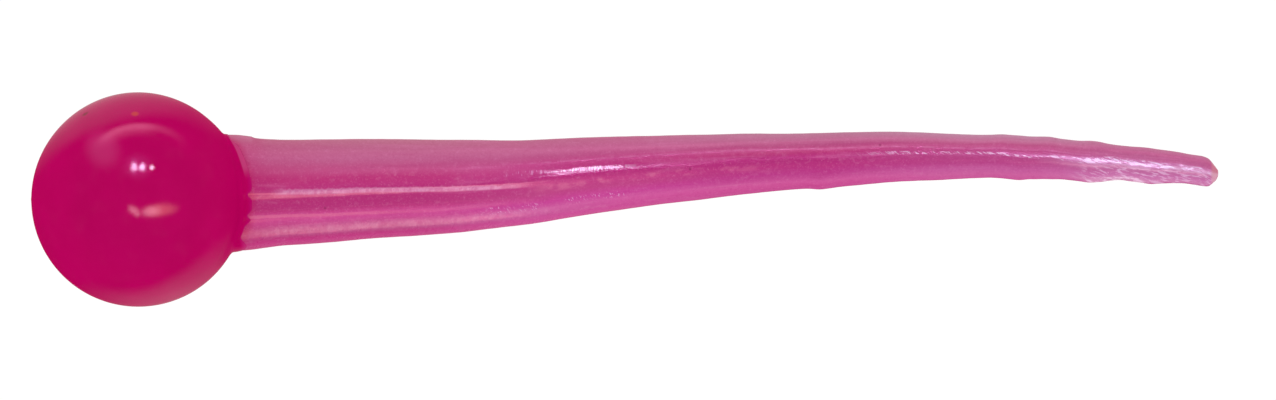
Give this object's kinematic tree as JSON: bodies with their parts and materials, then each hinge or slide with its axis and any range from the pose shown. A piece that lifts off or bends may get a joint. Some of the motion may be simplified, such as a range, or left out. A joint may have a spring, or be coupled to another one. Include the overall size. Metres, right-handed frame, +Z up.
{
  "type": "soft ball-head worm bait",
  "caption": "Floating soft fishing bait: a glossy ball head on a long, fluted, tapering worm tail that bends side to side and up and down.",
  "frame": {"origin": "centre of the ball head", "axes": "+X along the tail from the ball to the tip, +Z up from the surface the bait lies on, +Y to the side the tail curves to"},
  "size_m": [0.076, 0.0138, 0.0138],
  "materials": {
    "head_plastic": "wet-look gloss, opaque, saturated magenta",
    "tail_plastic": "glossy pearl pink, slightly translucent"
  },
  "bodies": {
    "head": {"ball_head": "head_plastic", "tail_root": "tail_plastic"},
    "tail_link_1": {"tail_link_1": "tail_plastic"},
    "tail_link_2": {"tail_link_2": "tail_plastic"},
    "tail_link_3": {"tail_link_3": "tail_plastic"},
    "tail_link_4": {"tail_link_4": "tail_plastic"},
    "tail_link_5": {"tail_link_5": "tail_plastic"},
    "tail_link_6": {"tail_link_6": "tail_plastic"},
    "tail_link_7": {"tail_link_7": "tail_plastic"},
    "tail_tip": {"tail_tip": "tail_plastic"}
  },
  "joints": [
    {"name": "tail_wag_1", "type": "hinge", "parent": "head", "child": "tail_link_1", "pos_m": [0.013, 0.00059, -0.00233], "axis": [0, 0, 1], "range_deg": [-14, 14], "stiffness_Nm_per_rad": 0.0011},
    {"name": "tail_lift_1", "type": "hinge", "parent": "tail_link_1", "child": "tail_link_2", "pos_m": [0.02, 0.00084, -0.00351], "axis": [0, -1, 0], "range_deg": [-12, 12], "stiffness_Nm_per_rad": 0.00058},
    {"name": "tail_wag_2", "type": "hinge", "parent": "tail_link_2", "child": "tail_link_3", "pos_m": [0.027, 0.00132, -0.00439], "axis": [0, 0, 1], "range_deg": [-16.8, 16.8], "stiffness_Nm_per_rad": 0.00043},
    {"name": "tail_lift_2", "type": "hinge", "parent": "tail_link_3", "child": "tail_link_4", "pos_m": [0.034, 0.00193, -0.0049], "axis": [0, -1, 0], "range_deg": [-15, 15], "stiffness_Nm_per_rad": 0.000175},
    {"name": "tail_wag_3", "type": "hinge", "parent": "tail_link_4", "child": "tail_link_5", "pos_m": [0.041, 0.00239, -0.00528], "axis": [0, 0, 1], "range_deg": [-19.6, 19.6], "stiffness_Nm_per_rad": 0.000115},
    {"name": "tail_lift_3", "type": "hinge", "parent": "tail_link_5", "child": "tail_link_6", "pos_m": [0.048, 0.00272, -0.00556], "axis": [0, -1, 0], "range_deg": [-18, 18], "stiffness_Nm_per_rad": 0.000062},
    {"name": "tail_wag_4", "type": "hinge", "parent": "tail_link_6", "child": "tail_link_7", "pos_m": [0.055, 0.00276, -0.00572], "axis": [0, 0, 1], "range_deg": [-22.4, 22.4], "stiffness_Nm_per_rad": 0.00004},
    {"name": "tail_lift_4", "type": "hinge", "parent": "tail_link_7", "child": "tail_tip", "pos_m": [0.062, 0.00241, -0.0058], "axis": [0, -1, 0], "range_deg": [-21, 21], "stiffness_Nm_per_rad": 0.000018}
  ],
  "couplings": [
    {"joint": "tail_wag_2", "follows": "tail_wag_1", "ratio": 1.2},
    {"joint": "tail_lift_2", "follows": "tail_lift_1", "ratio": 1.25},
    {"joint": "tail_wag_3", "follows": "tail_wag_1", "ratio": 1.4},
    {"joint": "tail_lift_3", "follows": "tail_lift_1", "ratio": 1.5},
    {"joint": "tail_wag_4", "follows": "tail_wag_1", "ratio": 1.6},
    {"joint": "tail_lift_4", "follows": "tail_lift_1", "ratio": 1.75}
  ]
}
